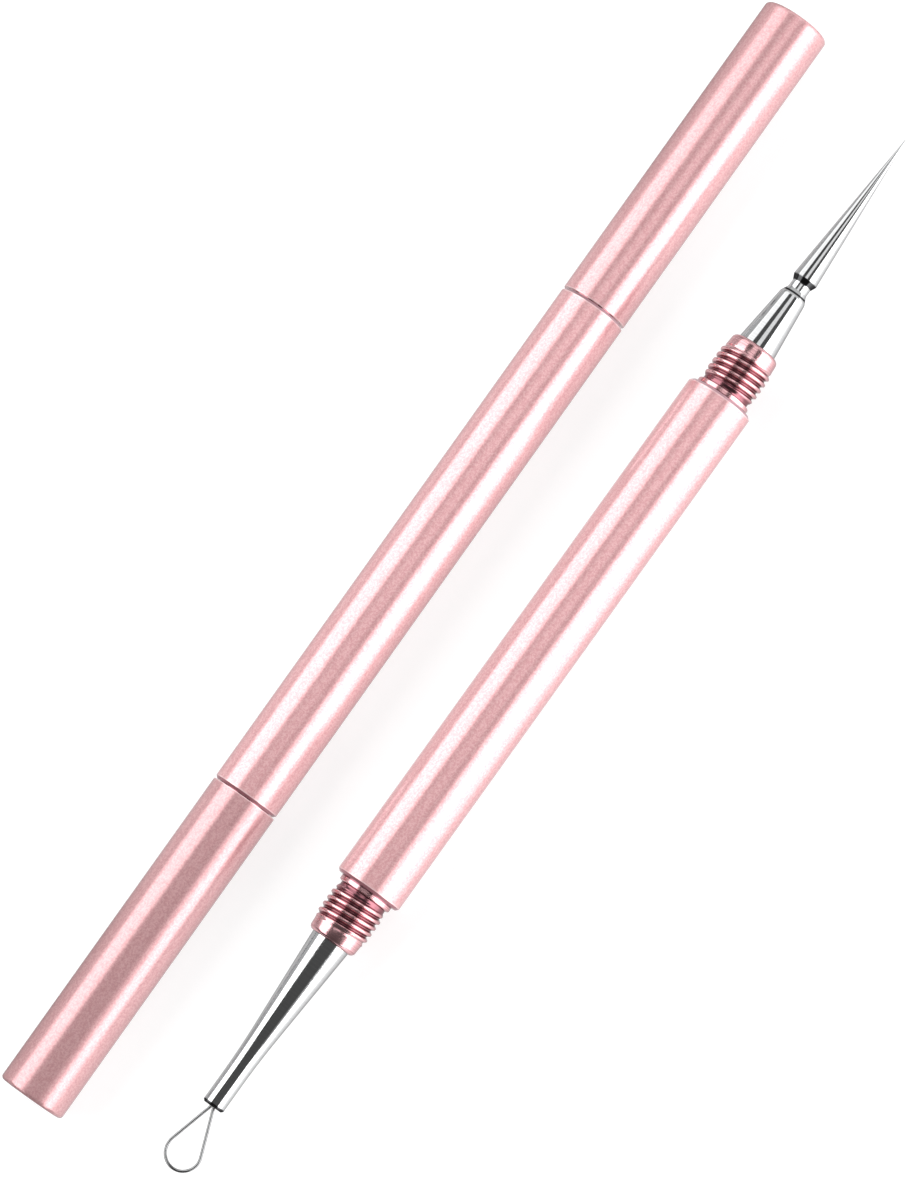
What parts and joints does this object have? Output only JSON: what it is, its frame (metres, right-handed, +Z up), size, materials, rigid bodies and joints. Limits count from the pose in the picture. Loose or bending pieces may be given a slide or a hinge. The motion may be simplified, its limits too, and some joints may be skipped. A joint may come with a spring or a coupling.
{
  "type": "blackhead extractor",
  "caption": "Slim double-ended skin tool with a spear needle and a wire loop on threaded ends, shown capped beside an open one.",
  "frame": {"origin": "on the surface that both tools lie on, under the middle of the pair", "axes": "+X along both tools towards their needle ends, +Y from the open tool to the capped one, +Z up"},
  "size_m": [0.1456, 0.0258, 0.008],
  "materials": {
    "rose_aluminium": "satin rose-pink anodised",
    "rose_thread": "glossy rose-pink anodised, turned",
    "polished_steel": "mirror polished",
    "spring_wire": "polished drawn wire"
  },
  "bodies": {
    "closed_tool": {"closed_handle": "rose_aluminium", "closed_needle_insert": "rose_thread", "closed_loop_insert": "rose_thread", "closed_needle": "polished_steel", "closed_loop_holder": "polished_steel", "closed_wire_loop": "spring_wire"},
    "needle_cap": {"needle_cap": "rose_aluminium"},
    "loop_cap": {"loop_cap": "rose_aluminium"},
    "open_tool": {"open_handle": "rose_aluminium", "open_needle_insert": "rose_thread", "open_loop_insert": "rose_thread", "open_needle": "polished_steel", "open_loop_holder": "polished_steel", "open_wire_loop": "spring_wire"}
  },
  "joints": [
    {"name": "needle_cap_pull", "type": "slide", "parent": "closed_tool", "child": "needle_cap", "axis": [1, 0, 0], "range_m": [0, 0.045]},
    {"name": "loop_cap_pull", "type": "slide", "parent": "closed_tool", "child": "loop_cap", "axis": [-1, 0, 0], "range_m": [0, 0.045]},
    {"name": "open_tool_away", "type": "slide", "parent": "closed_tool", "child": "open_tool", "axis": [0, -1, 0], "range_m": [0, 0.05]}
  ]
}
